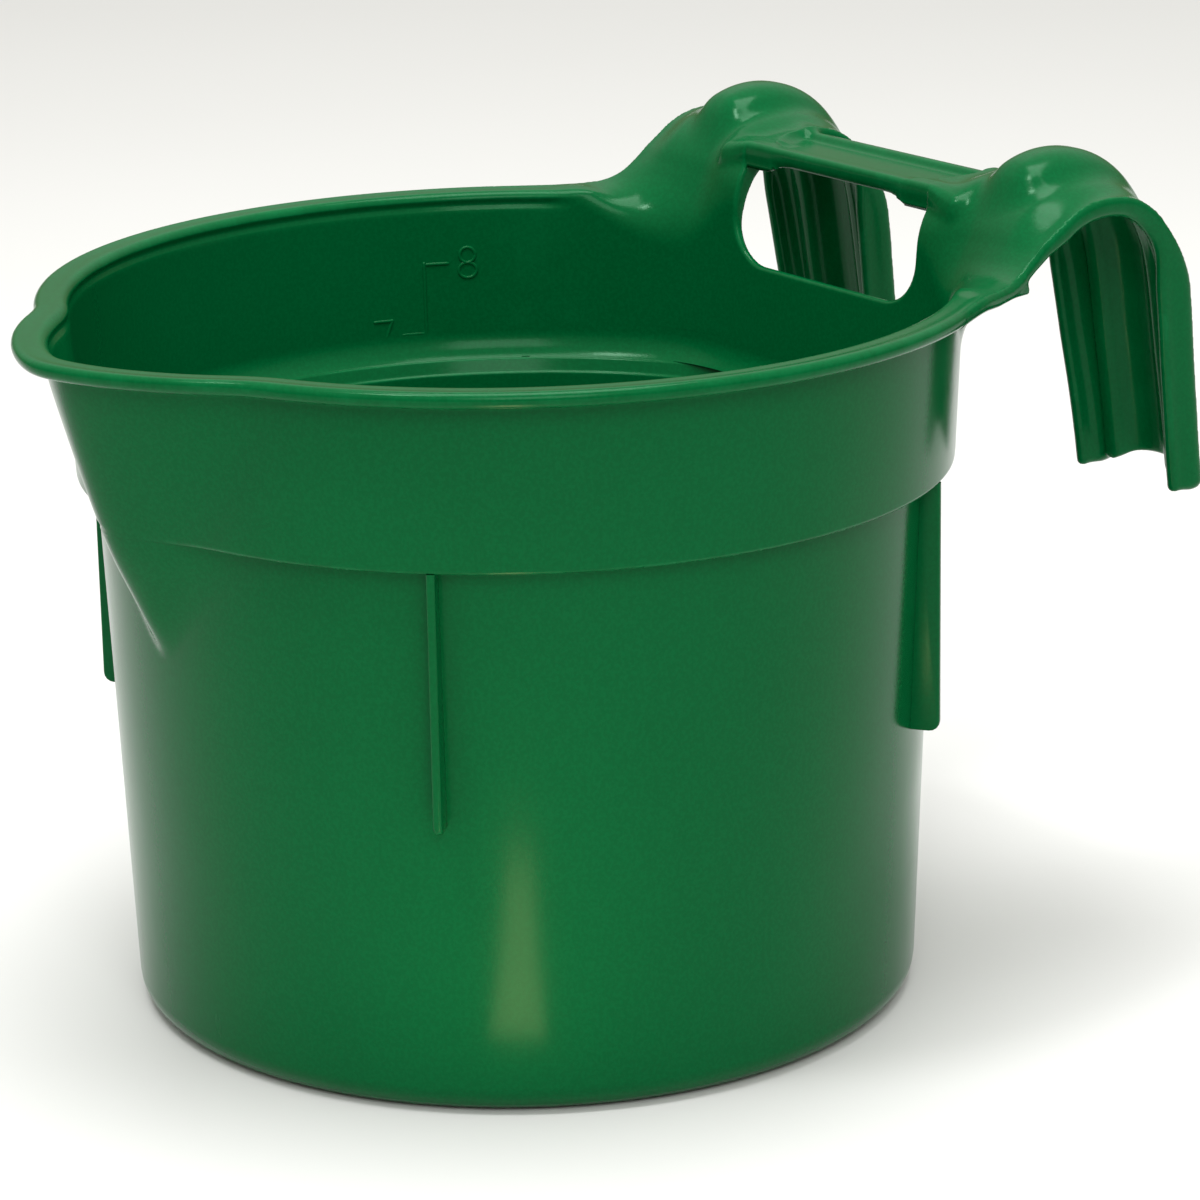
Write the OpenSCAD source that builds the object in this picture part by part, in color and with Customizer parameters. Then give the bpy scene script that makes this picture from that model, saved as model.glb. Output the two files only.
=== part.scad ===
// Hook-over feed bucket: a round tub with a flat back, a pouring lip at the
// front and two broad hooks with a grip bar between them at the back.
// The real article is one moulding. Each module below is one moulded feature,
// a closed solid that meets its neighbours face to face.
// Millimetres, +Z up, origin at the centre of the base, on the floor.
// -Y points to the pouring lip, +Y to the hooks.

/* [Tub] */
// Outside radius of the round tub at the floor
base_r = 113; // [90:0.5:140]
// Wall thickness
wall_t = 2.4; // [1.6:0.1:4]
// Floor thickness
floor_t = 3; // [2:0.1:6]
// Radius of the rounded bottom corner
corner_r = 8; // [3:0.5:14]
// Outside radius of the lower wall just under the shoulder
wall_top_r = 118.9; // [95:0.1:150]
// Height of the shoulder's underside
shoulder_z = 155.5; // [100:0.5:200]
// Outside radius of the upper band at the shoulder
band_r = 124.3; // [100:0.1:160]
// Outside radius of the upper band under the rim
band_top_r = 126.4; // [100:0.1:160]
// Height of the rim
rim_z = 206; // [150:0.5:260]

/* [Rim] */
// Outside radius of the turned-out rim
lip_r = 133.4; // [105:0.1:170]
// Thickness of the turned-out rim
lip_h = 4; // [2:0.1:8]

/* [Flat back] */
// Outside face of the flat back at floor level, along Y
back_y = 99; // [80:0.5:120]
// Outward lean of the flat back, degrees
back_lean = 4.1; // [0:0.1:10]

/* [Hand opening] */
// Width of the hand opening
hand_w = 86; // [60:1:110]
// Height of the lower edge of the hand opening
hand_z = 189; // [160:0.5:200]
// Corner radius of the hand opening
hand_r = 14; // [4:0.5:20]

/* [Grip bar] */
// Front face of the grip bar, along Y
bar_y = 116; // [110:0.5:125]
// Depth of the grip bar from front to back
bar_d = 24; // [14:0.5:34]
// Underside height of the grip bar
bar_z = 220.4; // [205:0.1:235]
// Height of the grip bar's two edges
bar_h = 5.4; // [3:0.1:12]
// Thickness of the bar's web and edges
bar_t = 2.6; // [1.6:0.1:5]

/* [Hooks] */
// Centre of each hook, along X
hook_x = 68.5; // [50:0.5:90]
// Width of each hook
hook_w = 51; // [30:0.5:70]
// Centre of the hook's arch, along Y
arch_y = 142; // [130:0.5:160]
// Centre of the hook's arch, along Z
arch_z = 199; // [180:0.5:220]
// Outside radius of the hook's arch
arch_r = 28; // [20:0.5:45]
// Thickness of the hook's strap
strap_t = 3.6; // [2:0.1:6]
// Depth of the turned-in edge along both sides of a hook
edge_d = 6.5; // [3.6:0.1:12]
// Width of the turned-in edge
edge_t = 3.4; // [2:0.1:6]
// Height of the tail's lower end
tail_z = 138; // [90:1:170]
// Outward lean of the tail, degrees
tail_lean = 7; // [0:0.5:15]
// Inward taper of each side of the tail, degrees
tail_taper = 3; // [0:0.5:8]
// Width of the raised rib along the middle of a hook
crown_w = 26; // [14:0.5:36]
// Outside radius of the raised rib over the arch
crown_r = 34.5; // [28:0.5:50]
// Height of the raised rib above the tail at its lower end
crown_d = 8.5; // [3:0.5:14]

/* [Pouring lip] */
// Reach of the pouring lip's wall at the rim, from the tub's axis
spout_s = 147; // [128:0.5:170]
// Half width of the pouring lip where it leaves the rim
spout_w = 49; // [30:0.5:70]
// Height where the pouring lip starts on the lower wall
spout_z = 112; // [60:1:150]

/* [Stacking ribs] */
// Height of the ribs' lower ends
rib_z = 81; // [40:1:140]
// Thickness of each rib
rib_t = 2.4; // [1:0.1:4]
// Angle of the front ribs from the pouring lip
rib_a_front = 45; // [20:1:70]
// Angle of the back ribs from the pouring lip
rib_a_back = 126; // [110:1:150]

/* [Level marks] */
// Angle of the level line from the hooks, towards -X
mark_a = 68.4; // [40:0.1:90]
// Height of the upper level mark
mark_hi = 184.6; // [150:0.1:200]
// Height of the lower level mark
mark_lo = 163.3; // [140:0.1:190]
// How far the marks stand out of the wall
mark_d = 0.7; // [0.3:0.1:1.5]
// Height of the figures
figure_h = 12; // [6:0.5:20]

/* [Hidden] */
$fn = 128;
far = 400;
step_top = shoulder_z + wall_t;
lip_z = rim_z - lip_h;
lip_in = band_top_r - wall_t;
wall_k = (wall_top_r - base_r) / (shoulder_z - corner_r);
band_k = (band_top_r - band_r) / (lip_z - shoulder_z);
hook_in = hook_x - hook_w / 2;
hook_out = hook_x + hook_w / 2;
crown_in = crown_w - 2 * 3;
arch_a0 = 140;
spout_n = 16;

// ---- shared shapes ----

// Everything in front of the flat back; inset moves the plane to the front
module front_of_back(inset = 0) {
  translate([0, back_y - inset / cos(back_lean), 0]) rotate([-back_lean, 0, 0])
    translate([-far, -far, -far / 2]) cube([2 * far, far, 2 * far]);
}

// Solid inside the lower wall's outer face, inset by d, between two heights
module lower_cone(d, z0, z1) translate([0, 0, z0]) cylinder(h = z1 - z0,
  r1 = base_r + wall_k * (z0 - corner_r) - d, r2 = base_r + wall_k * (z1 - corner_r) - d);

// The same for the wider band above the shoulder
module upper_cone(d, z0, z1) translate([0, 0, z0]) cylinder(h = z1 - z0,
  r1 = band_r + band_k * (z0 - shoulder_z) - d, r2 = band_r + band_k * (z1 - shoulder_z) - d);

// Outside radius of the tub's wall at height z
function wall_r(z) = z < shoulder_z ? base_r + wall_k * (z - corner_r)
                                    : band_r + band_k * (z - shoulder_z);

// The pouring lip is a smooth bulge of the wall inside a V-shaped window.
// Height of each row: [z, half width of the window, reach from the axis]
function spout_rows() = let (h = lip_z - spout_z) [
  for (q = [[0, 0.12, 0.03], [0.09, 0.34, 0.13], [0.2, 0.52, 0.28], [0.32, 0.66, 0.44],
            [0.43, 0.75, 0.57], [0.505, 0.8, 0.645], [0.6, 0.84, 0.73], [0.73, 0.89, 0.83],
            [0.86, 0.95, 0.92], [1, 1, 1]])
    [spout_z + h * q[0], spout_w * q[1],
     wall_r(spout_z) + (spout_s - wall_r(spout_z)) * q[2]]];
function bulge(u) = pow(max(0, 1 - abs(u)), 1.6) * (1 + 1.6 * abs(u));
function spout_pt(row, u, d, grow = 0) = let (
    r0 = wall_r(row[0]) - d,
    a = asin(row[1] / wall_r(row[0])) * u * 1.04,
    r = r0 + grow + (row[2] - wall_r(row[0])) * bulge(u))
  [r * sin(a), -r * cos(a), row[0]];

// Closed shell between an outer and an inner grid of n columns
module shell(outer, inner, n) {
  m = len(outer) / n;
  k = len(outer);
  function q(a, b, c, d) = [[a, b, c], [a, c, d]];
  polyhedron(points = concat(outer, inner), faces = concat(
    [for (j = [0 : m - 2]) for (i = [0 : n - 2])
      for (f = q(j * n + i, (j + 1) * n + i, (j + 1) * n + i + 1, j * n + i + 1)) f],
    [for (j = [0 : m - 2]) for (i = [0 : n - 2])
      for (f = q(k + j * n + i, k + j * n + i + 1, k + (j + 1) * n + i + 1,
                 k + (j + 1) * n + i)) f],
    [for (i = [0 : n - 2]) for (f = q(i, i + 1, k + i + 1, k + i)) f],
    [for (i = [0 : n - 2]) let (o = (m - 1) * n)
      for (f = q(o + i + 1, o + i, k + o + i, k + o + i + 1)) f],
    [for (j = [0 : m - 2]) for (f = q((j + 1) * n, j * n, k + j * n, k + (j + 1) * n)) f],
    [for (j = [0 : m - 2]) let (e = n - 1)
      for (f = q(j * n + e, (j + 1) * n + e, k + (j + 1) * n + e, k + j * n + e)) f]),
    convexity = 6);
}

// The V-shaped window that the pouring lip fills, seen from the front
module spout_window(z1) rotate([90, 0, 0]) linear_extrude(far) {
  rows = spout_rows();
  polygon(concat([for (r = rows) [r[1], r[0]]], [[spout_w, z1], [-spout_w, z1]],
    [for (i = [len(rows) - 1 : -1 : 0]) [-rows[i][1], rows[i][0]]]));
}

// ---- tub ----

module tub_floor() color("green") intersection() {
  front_of_back();
  rotate_extrude() {
    square([base_r - corner_r, floor_t]);
    intersection() {
      difference() {
        translate([base_r - corner_r, corner_r]) circle(r = corner_r);
        translate([base_r - corner_r, corner_r]) circle(r = corner_r - wall_t);
      }
      translate([base_r - corner_r, 0]) square([corner_r, corner_r]);
    }
  }
}

module tub_wall() color("green") difference() {
  intersection() {
    lower_cone(0, corner_r, shoulder_z);
    front_of_back(wall_t);
  }
  lower_cone(wall_t, corner_r - 1, shoulder_z + 1);
  spout_window(rim_z + 1);
}

module shoulder_step() color("green") difference() {
  intersection() {
    translate([0, 0, shoulder_z]) cylinder(h = wall_t, r = band_r);
    front_of_back(wall_t);
  }
  cylinder(h = 300, r = wall_top_r - wall_t);
  spout_window(rim_z + 1);
}

module upper_band() color("green") difference() {
  intersection() {
    upper_cone(0, step_top, lip_z);
    front_of_back(wall_t);
  }
  upper_cone(wall_t, step_top - 1, lip_z + 1);
  spout_window(rim_z + 1);
}

// Turned-out rim with a rounded edge, open at the pouring lip and the hooks
module rim_lip() color("green") difference() {
  translate([0, 0, lip_z]) rotate_extrude() {
    translate([lip_in, 0]) square([lip_r - lip_in - lip_h / 2, lip_h]);
    translate([lip_r - lip_h / 2, lip_h / 2]) circle(r = lip_h / 2);
  }
  translate([-hook_out, 0, 0]) cube([2 * hook_out, far, far]);
  spout_window(rim_z + 1);
}

// ---- flat back with the hand opening ----

module hand_opening() translate([0, far, 0]) rotate([90, 0, 0]) linear_extrude(2 * far) {
  translate([-hand_w / 2, hand_z + hand_r]) square([hand_w, 60]);
  translate([-hand_w / 2 + hand_r, hand_z]) square([hand_w - 2 * hand_r, 60]);
  for (s = [-1, 1]) translate([s * (hand_w / 2 - hand_r), hand_z + hand_r]) circle(r = hand_r);
}

module back_wall() color("green") difference() {
  intersection() {
    front_of_back();
    union() {
      lower_cone(0, corner_r, shoulder_z);
      upper_cone(0, shoulder_z, lip_z);
      translate([-hook_in - 11, 90, lip_z]) cube([2 * (hook_in + 11), 30, 6]);
      translate([0, 0, floor_t]) cylinder(h = corner_r - floor_t, r = base_r - wall_t);
    }
  }
  front_of_back(wall_t);
  hand_opening();
  tub_floor_ring();
  for (s = [0, 1]) mirror([s, 0, 0]) side_extrude(hook_in - 1, hook_out) root_outline();
}

// The rounded bottom corner's own space, kept out of the flat back
module tub_floor_ring() rotate_extrude() difference() {
  translate([base_r - corner_r, 0]) square([corner_r, corner_r]);
  translate([base_r - corner_r, corner_r]) circle(r = corner_r - wall_t);
}

// ---- pouring lip ----

module pour_spout() color("green") {
  us = [for (i = [0 : spout_n]) -1 + 2 * i / spout_n];
  intersection() {
    shell([for (r = spout_rows()) for (u = us) spout_pt(r, u, 0)],
          [for (r = spout_rows()) for (u = us) spout_pt(r, u, wall_t)], spout_n + 1);
    spout_window(rim_z + 1);
  }
}

// The rim's turned-out edge carried round the pouring lip
module spout_lip() color("green") {
  us = [for (i = [0 : spout_n]) -1 + 2 * i / spout_n];
  top = spout_rows()[len(spout_rows()) - 1];
  over = lip_r - band_top_r;
  zs = [lip_z, lip_z + 1.2, rim_z - 1.2, rim_z];
  reach = [over + 0.6, over + 2, over + 2, over + 0.6];
  intersection() {
    shell([for (j = [0 : 3]) for (u = us) let (p = spout_pt(top, u, 0, reach[j]))
             [p[0], p[1], zs[j]]],
          [for (j = [0 : 3]) for (u = us) let (p = spout_pt(top, u, wall_t))
             [p[0], p[1], zs[j]]], spout_n + 1);
    spout_window(rim_z + 1);
  }
}

// ---- grip bar: a shallow channel, open at the top ----

module grip_bar() color("green") translate([-hook_in, 0, 0]) rotate([90, 0, 90])
  linear_extrude(2 * hook_in) {
    translate([bar_y, bar_z]) square([bar_d, bar_t]);
    for (y = [bar_y, bar_y + bar_d - bar_t]) {
      translate([y, bar_z]) square([bar_t, bar_h - bar_t / 2]);
      translate([y + bar_t / 2, bar_z + bar_h - bar_t / 2]) circle(r = bar_t / 2);
    }
  }

// ---- hooks, drawn as side profiles in Y and Z ----

// Half plane under the radial line at arch_a0, where root and strap meet
module root_side() translate([arch_y, arch_z]) rotate(arch_a0) square([100, 100]);

// Solid side profile out to radius r over the arch and d beyond the tail
module hook_solid(r, d) {
  translate([arch_y, arch_z]) circle(r = r);
  translate([arch_y, arch_z]) rotate(tail_lean) translate([-100, -120]) square([100 + r + d, 120]);
}

module hook_band(r_out, r_in, z_low = tail_z) difference() {
  hook_solid(r_out, 0);
  hook_solid(r_in, 0);
  root_side();
  translate([arch_y - 150, arch_z - 200]) square([150, 200]);
  translate([arch_y, z_low - 100]) square([200, 100]);
}

module side_extrude(x0, x1) translate([x0, 0, 0]) rotate([90, 0, 90]) linear_extrude(x1 - x0)
  children();

// Slanting cuts that taper the tail towards its lower end
module tail_sides(s) translate([hook_x + s * hook_w / 2, 0, arch_z])
  rotate([0, -s * tail_taper, 0]) translate([s > 0 ? 0 : -40, 100, -120]) cube([40, 120, 120]);

module inner_strap() difference() {
  union() {
    side_extrude(hook_in, hook_x - crown_w / 2) hook_band(arch_r, arch_r - strap_t);
    side_extrude(hook_in, hook_in + edge_t) hook_band(arch_r - strap_t, arch_r - edge_d);
    tail_edge(-1);
  }
  tail_sides(-1);
}

module outer_strap() difference() {
  union() {
    side_extrude(hook_x + crown_w / 2, hook_out) hook_band(arch_r, arch_r - strap_t);
    side_extrude(hook_out - edge_t, hook_out) hook_band(arch_r - strap_t, arch_r - edge_d);
    tail_edge(1);
  }
  tail_sides(1);
}

// The tail's turned-in edge follows the taper
module tail_edge(s) translate([hook_x + s * hook_w / 2, 0, arch_z])
  rotate([0, -s * tail_taper, 0]) translate([s > 0 ? -edge_t : 0, 0, -arch_z])
    rotate([90, 0, 90]) linear_extrude(edge_t) intersection() {
      hook_band(arch_r - strap_t, arch_r - edge_d);
      translate([arch_y, tail_z]) square([100, arch_z - tail_z - 2]);
    }

// Raised rib: an upturned channel over the middle of the hook
module crown_outline(r, d) {
  translate([arch_y - 1, arch_z + 3]) circle(r = r);
  difference() {
    translate([arch_y, arch_z]) rotate(tail_lean) translate([-100, -120])
      square([100 + arch_r + d, 126]);
    translate([arch_y - 250, arch_z - 200]) square([250, 400]);
  }
}

module crown_profile(r, d) difference() {
  crown_outline(r, d);
  hook_solid(arch_r - strap_t, 0);
  root_side();
  translate([arch_y - 150, arch_z - 200]) square([150, 200]);
  translate([arch_y, tail_z - 100]) square([200, 100]);
}

module crown() difference() {
  side_extrude(hook_x - crown_w / 2, hook_x + crown_w / 2) crown_profile(crown_r, crown_d);
  side_extrude(hook_x - crown_in / 2, hook_x + crown_in / 2) difference() {
    crown_outline(crown_r - 3, crown_d - 3);
    root_side();
  }
}

// Ramp that rises from the rim into the strap
module root_outline() polygon([[78, rim_z], [101, rim_z], [108, rim_z + 2], [114, rim_z + 6],
  [arch_y + arch_r * cos(arch_a0), arch_z + arch_r * sin(arch_a0)],
  [arch_y + (arch_r - strap_t) * cos(arch_a0), arch_z + (arch_r - strap_t) * sin(arch_a0)],
  [116.5, rim_z + 2.6], [110, lip_z], [78, lip_z]]);

module root() difference() {
  side_extrude(hook_in, hook_out) root_outline();
  translate([0, 0, lip_z - 1]) cylinder(h = 40, r = lip_in);
  intersection() {
    front_of_back(wall_t);
    translate([0, 0, 150]) cube([hook_in + 12, far, 100]);
  }
}

module hook_root_right() color("green") root();
module hook_root_left() color("green") mirror([1, 0, 0]) root();
module hook_inner_strap_right() color("green") inner_strap();
module hook_inner_strap_left() color("green") mirror([1, 0, 0]) inner_strap();
module hook_outer_strap_right() color("green") outer_strap();
module hook_outer_strap_left() color("green") mirror([1, 0, 0]) outer_strap();
module hook_crown_right() color("green") crown();
module hook_crown_left() color("green") mirror([1, 0, 0]) crown();

// ---- stacking ribs: thin fins under the shoulder ----

module rib(a) difference() {
  rotate([0, 0, a]) translate([0, rib_t / 2, 0]) rotate([90, 0, 0]) linear_extrude(rib_t) {
    translate([100, rib_z + 3]) square([band_r - 100, shoulder_z - rib_z - 3]);
    translate([100, rib_z]) square([band_r - 103, 4]);
    translate([band_r - 3, rib_z + 3]) circle(r = 3);
  }
  lower_cone(0, rib_z - 5, shoulder_z + 2);
}

module rib_front_left() color("green") rib(-90 - rib_a_front);
module rib_front_right() color("green") rib(-90 + rib_a_front);
module rib_back_left() color("green") rib(-90 - rib_a_back);
module rib_back_right() color("green") rib(-90 + rib_a_back);

// ---- level marks on the inside of the wall ----

// A raised patch on the wall's inside: along the wall u0..u1, height v0..v1
module mark(u0, u1, v0, v1) difference() {
  rotate([0, 0, 90 + mark_a]) intersection() {
    upper_cone(wall_t, step_top - 1, lip_z, $fn = 720);
    translate([90, -u1, v0]) cube([60, u1 - u0, v1 - v0]);
  }
  upper_cone(wall_t + mark_d, step_top - 2, lip_z + 1, $fn = 720);
}

module level_line() color("green") mark(-0.8, 0.8, step_top, mark_hi + 0.8);
module level_tick_upper() color("green") mark(0.8, 8, mark_hi - 0.8, mark_hi + 0.8);
module level_tick_lower() color("green") mark(-8, -0.8, mark_lo - 0.8, mark_lo + 0.8);

// Figures made of straight strokes
module stroke_h(u, v) mark(u - figure_h * 0.29, u + figure_h * 0.29, v - 0.8, v + 0.8);
module stroke_v(u, v0, v1) mark(u - 0.8, u + 0.8, v0, v1);

module level_figure_upper() color("green") {
  u = 13.5;
  h = figure_h / 2;
  w = figure_h * 0.29;
  stroke_v(u - w, mark_hi - h, mark_hi + h);
  stroke_v(u + w, mark_hi - h, mark_hi + h);
  for (v = [-h + 0.8, 0, h - 0.8]) stroke_h(u, mark_hi + v);
}

module level_figure_lower() color("green") {
  u = -13.5;
  h = figure_h / 2;
  w = figure_h * 0.29;
  stroke_h(u, mark_lo + h - 0.8);
  stroke_v(u + w, mark_lo - h, mark_lo + h);
}

tub_floor();
tub_wall();
shoulder_step();
upper_band();
rim_lip();
back_wall();
pour_spout();
spout_lip();
grip_bar();
hook_root_left();
hook_inner_strap_left();
hook_outer_strap_left();
hook_crown_left();
hook_root_right();
hook_inner_strap_right();
hook_outer_strap_right();
hook_crown_right();
rib_front_left();
rib_front_right();
rib_back_left();
rib_back_right();
level_line();
level_tick_upper();
level_tick_lower();
level_figure_upper();
level_figure_lower();
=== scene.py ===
import math

import bmesh
import bpy
import numpy as np
from mathutils import Matrix, Vector


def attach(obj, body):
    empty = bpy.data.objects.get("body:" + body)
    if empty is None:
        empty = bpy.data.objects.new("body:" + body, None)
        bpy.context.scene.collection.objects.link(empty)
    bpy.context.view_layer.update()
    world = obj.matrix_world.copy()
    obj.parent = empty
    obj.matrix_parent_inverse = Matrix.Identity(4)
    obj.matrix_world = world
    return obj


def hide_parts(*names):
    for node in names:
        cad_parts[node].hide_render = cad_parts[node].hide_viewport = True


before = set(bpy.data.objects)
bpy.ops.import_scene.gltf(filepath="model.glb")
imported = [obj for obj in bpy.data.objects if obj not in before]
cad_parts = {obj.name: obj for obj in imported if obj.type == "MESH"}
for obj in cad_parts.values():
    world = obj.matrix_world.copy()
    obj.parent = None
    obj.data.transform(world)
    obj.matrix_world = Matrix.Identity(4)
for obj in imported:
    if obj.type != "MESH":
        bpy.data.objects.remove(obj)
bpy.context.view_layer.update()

MM = 0.001



def place_object(name, data):
    ob = bpy.data.objects.new(name, data)
    bpy.context.scene.collection.objects.link(ob)
    return ob


def shade_smooth(me):
    me.polygons.foreach_set("use_smooth", np.ones(len(me.polygons), bool))


# ---------------------------------------------------------------- camera

CAM_UNIT = 0.113
CAM_AZ = 0.973
CAM_FORWARD = 11.2593
CAM_UP = 4.3301
CAM_PITCH = 0.2885
CAM_YAW = 0.0181
CAM_ROLL = -0.0181
CAM_FOCAL = 4626.41
FRAME_WIDTH = 1200.0
SENSOR = 36.0


def to_object(v):
    """From the camera's own ground axes to the part's axes."""
    hd = (math.sin(CAM_AZ), math.cos(CAM_AZ))
    lat = (math.cos(CAM_AZ), -math.sin(CAM_AZ))
    return Vector((v[0] * lat[0] + v[1] * lat[1], v[0] * hd[0] + v[1] * hd[1], v[2]))


def add_camera():
    level = math.cos(CAM_PITCH)
    fw = Vector((math.sin(CAM_YAW) * level, math.cos(CAM_YAW) * level, -math.sin(CAM_PITCH)))
    rt = Vector((math.cos(CAM_YAW), -math.sin(CAM_YAW), 0.0))
    up = rt.cross(fw)
    r2 = rt * math.cos(CAM_ROLL) + up * math.sin(CAM_ROLL)
    u2 = up * math.cos(CAM_ROLL) - rt * math.sin(CAM_ROLL)
    place = to_object((0.0, -CAM_FORWARD, CAM_UP)) * CAM_UNIT
    right, upward, back = to_object(r2), to_object(u2), -to_object(fw)
    cam = bpy.data.cameras.new("camera")
    cam.sensor_width = SENSOR
    cam.lens = CAM_FOCAL / FRAME_WIDTH * SENSOR
    cam.clip_start, cam.clip_end = 0.05, 50.0
    ob = place_object("camera", cam)
    m = Matrix((right, upward, back)).transposed().to_4x4()
    m.translation = place
    ob.matrix_world = m
    bpy.context.scene.camera = ob


add_camera()

# ---------------------------------------------------------------- field helpers


def smin(a, b, k):
    """Smooth minimum, which joins two shapes with a fillet about k wide."""
    h = np.clip(0.5 + 0.5 * (b - a) / k, 0.0, 1.0)
    return b + (a - b) * h - k * h * (1.0 - h)


def smax(a, b, k):
    return -smin(-a, -b, k)


def step01(v, lo, hi):
    t = np.clip((v - lo) / (hi - lo), 0.0, 1.0)
    return t * t * (3.0 - 2.0 * t)


def rounded(qa, qb, r):
    """Distance to the corner where two half spaces meet, rounded by r."""
    a, b = qa + r, qb + r
    return np.minimum(np.maximum(a, b), 0.0) + np.hypot(np.maximum(a, 0.0), np.maximum(b, 0.0)) - r


# ---------------------------------------------------------------- the tub, in mm

WALL = 2.4
SHOULDER_Z = 155.5
LIP_MID = 204.1
LIP_HALF = 2.05
LIP_OUT = 7.1
BACK_LEAN = math.radians(4.1)
BACK_Y = 99.0
BACK_K = 0.0717
BACK_ROUND = 8.0


def low_r(z):
    return 113.0 + 0.040 * (z - 8.0)


def up_r(z):
    return 124.3 + 0.0452 * (z - SHOULDER_Z)


def round_back(r, y, z, wall_r):
    """Distance out of the wall of radius wall_r with its flat back."""
    return smax(r - wall_r, (y - BACK_Y - BACK_K * z) * math.cos(BACK_LEAN), BACK_ROUND)


def band_d(x, y, z):
    return round_back(np.hypot(x, y), y, z, up_r(z))


# pouring nose by height: reach of its tip, blend into the round wall, sharpness of its ridge
SPOUT_Z = np.array([100.0, 112.0, 124.0, 136.0, 148.0, 161.0, 172.0, 183.0, 194.5, 206.0])
SPOUT_T = np.array([104.0, 112.0, 119.6, 125.4, 130.9, 135.4, 138.7, 141.7, 144.5, 146.6])
SPOUT_K = np.array([1.4, 1.6, 3.0, 5.2, 6.3, 6.0, 5.5, 5.0, 4.5, 4.0])
SPOUT_C = np.array([0.80, 0.80, 0.75, 0.65, 0.55, 0.45, 0.38, 0.32, 0.26, 0.20])
SPOUT_ARC = 73.0
SPOUT_NOSE = 4.5
NOSE_SPAN = 0.75
BISECTIONS = 44


def table_at(z, xs, ys):
    """Smooth cubic through a short table, at one height."""
    m = np.gradient(ys, xs)
    i = int(np.clip(np.searchsorted(xs, z) - 1, 0, len(xs) - 2))
    h = xs[i + 1] - xs[i]
    t = min(max((z - xs[i]) / h, 0.0), 1.0)
    a, b = ys[i], ys[i + 1]
    return (
        a * (1 + 2 * t) * (1 - t) ** 2
        + b * t * t * (3 - 2 * t)
        + h * m[i] * t * (1 - t) ** 2
        - h * m[i + 1] * t * t * (1 - t)
    )


def plan_radius(ang, z, wall_r):
    """Outer radius at each angle from -Y: round wall, flat back and pouring nose."""
    sx, cy = np.sin(ang), -np.cos(ang)
    lo, hi = np.full_like(ang, 40.0), np.full_like(ang, 150.0)
    for _ in range(BISECTIONS):
        mid = 0.5 * (lo + hi)
        out = round_back(mid, mid * cy, z, wall_r) > 0
        hi = np.where(out, mid, hi)
        lo = np.where(out, lo, mid)
    r = 0.5 * (lo + hi)
    if z > SPOUT_Z[0]:
        tip, k, ridge = (table_at(z, SPOUT_Z, tab) for tab in (SPOUT_T, SPOUT_K, SPOUT_C))
        lo, hi = np.full_like(ang, 10.0), np.full_like(ang, 190.0)
        for _ in range(BISECTIONS):
            mid = 0.5 * (lo + hi)
            x = np.minimum(np.abs(mid * sx), SPOUT_ARC - 1.0)
            bow = np.sqrt(SPOUT_ARC**2 - x * x) - SPOUT_ARC
            reach = tip + bow - ridge * (np.hypot(x, SPOUT_NOSE) - SPOUT_NOSE)
            out = -mid * cy > reach
            hi = np.where(out, mid, hi)
            lo = np.where(out, lo, mid)
        nose = np.where(np.abs(ang) < NOSE_SPAN, 0.5 * (lo + hi), 0.0)
        r = smax(r, nose, k)
    return r


N_AROUND = 720
ANG = np.linspace(-math.pi, math.pi, N_AROUND, endpoint=False)


def plan_curve(z, wall_r):
    """Points of the outer wall and their outward normals, in plan at height z."""
    r = plan_radius(ANG, z, wall_r)
    p = np.stack([r * np.sin(ANG), -r * np.cos(ANG)], 1)
    t = np.roll(p, -1, 0) - np.roll(p, 1, 0)
    n = np.stack([t[:, 1], -t[:, 0]], 1)
    n /= np.linalg.norm(n, axis=1)[:, None]
    return p, n


def wall_lean(z, mix):
    """Outward travel of the outer face per mm of height, at each angle."""
    h = 0.5
    rs = [low_r(q) * (1 - mix) + up_r(q) * mix for q in (z - h, z + h)]
    pa, _ = plan_curve(z - h, rs[0])
    pb, n = plan_curve(z + h, rs[1])
    return ((pb - pa) * n).sum(1) / (2 * h)


# ---------------------------------------------------------------- hooks, in mm

HOOK_X = 68.5
HOOK_HALF = 25.5
CROWN_X = 69.0
CROWN_HALF = 13.0
CROWN_Y = 139.6
CROWN_Z = 204.8
CROWN_R = 31.6
CROWN_WALL = 2.8
CROWN_TAIL = 7.5
CROWN_FRONT = 118.5
STRAP_PATH = np.array(
    [
        [20.0, 204.1],
        [60.0, 204.1],
        [88.0, 204.1],
        [96.0, 204.2],
        [102.5, 205.1],
        [108.0, 207.6],
        [112.0, 211.5],
        [115.5, 216.0],
        [119.8, 220.2],
        [125.4, 223.9],
        [132.8, 226.4],
        [141.0, 227.0],
        [149.0, 225.6],
        [156.0, 221.8],
        [161.7, 216.0],
        [165.6, 208.5],
        [168.0, 199.5],
        [170.0, 187.5],
        [171.9, 174.0],
        [174.4, 158.0],
        [177.6, 134.6],
    ]
)


def dense_path(points, step=0.7):
    """Smooth resampling of the strap's side profile."""
    out = []
    p = np.vstack([2 * points[0] - points[1], points, 2 * points[-1] - points[-2]])
    for i in range(1, len(p) - 2):
        a, b, c, d = p[i - 1], p[i], p[i + 1], p[i + 2]
        tb, tc, td = (math.sqrt(np.linalg.norm(w)) for w in (b - a, c - b, d - c))
        m1 = tc * ((b - a) / tb - (c - a) / (tb + tc)) + (c - b)
        m2 = tc * ((d - c) / td - (d - b) / (tc + td)) + (c - b)
        n = max(2, int(np.linalg.norm(c - b) / step))
        for t in np.arange(n) / n:
            out.append(
                (2 * t**3 - 3 * t**2 + 1) * b + (t**3 - 2 * t**2 + t) * m1
                + (-2 * t**3 + 3 * t**2) * c + (t**3 - t**2) * m2
            )
    out.append(points[-1])
    return np.array(out)


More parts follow.
